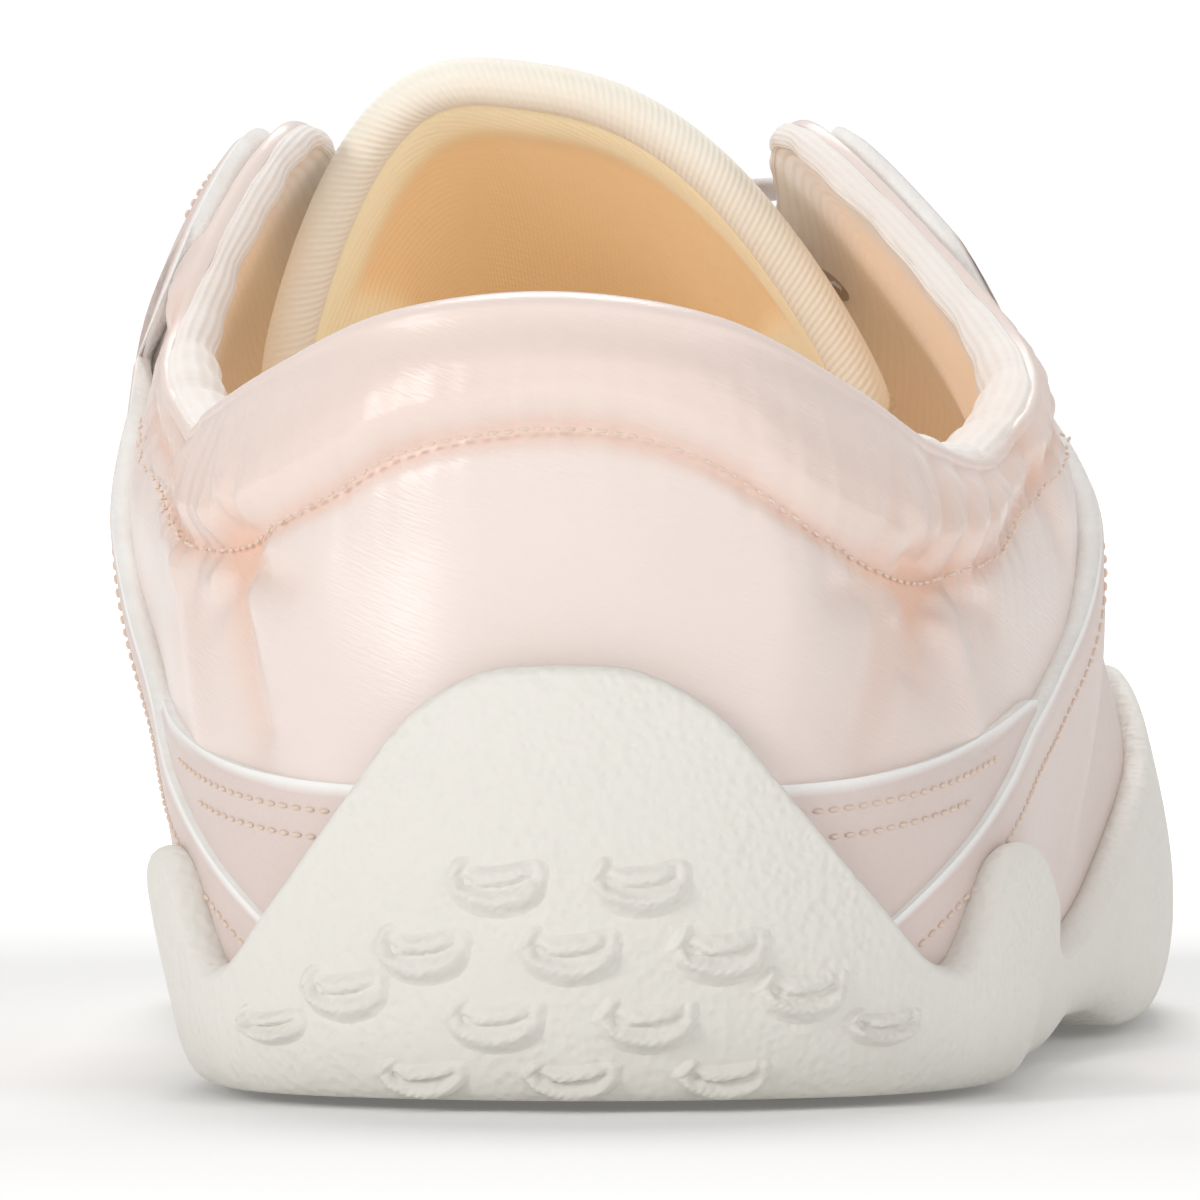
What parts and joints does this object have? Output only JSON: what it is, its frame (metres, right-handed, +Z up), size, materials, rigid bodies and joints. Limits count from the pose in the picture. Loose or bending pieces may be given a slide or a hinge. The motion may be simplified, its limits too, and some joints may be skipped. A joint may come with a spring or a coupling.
{
  "type": "ballet sneaker",
  "caption": "Low ballet sneaker for the right foot, with a padded satin upper, leather overlays, a knit tongue, flat laces and a moulded rubber cup sole.",
  "frame": {"origin": "on the floor, under the middle of the shoe's box", "axes": "+Z up from the floor, +Y from the heel towards the toe, +X towards the outer side of the right foot"},
  "size_m": [0.0912, 0.2514, 0.0837],
  "materials": {
    "rubber": "matt off-white rubber with a fine pebble grain",
    "satin": "pale pink satin with a soft sheen",
    "leather": "smooth pink-beige leather with white raw edges",
    "knit": "cream ribbed knit",
    "foam": "tan cloth over foam",
    "ribbon": "white satin ribbon"
  },
  "bodies": {
    "root": {"outsole": "rubber", "upper": "satin", "insole": "foam", "tongue": "knit", "saddle_outer": "leather", "saddle_inner": "leather", "heel_leather": "leather", "toe_rand": "leather", "lace": "ribbon"}
  },
  "joints": []
}
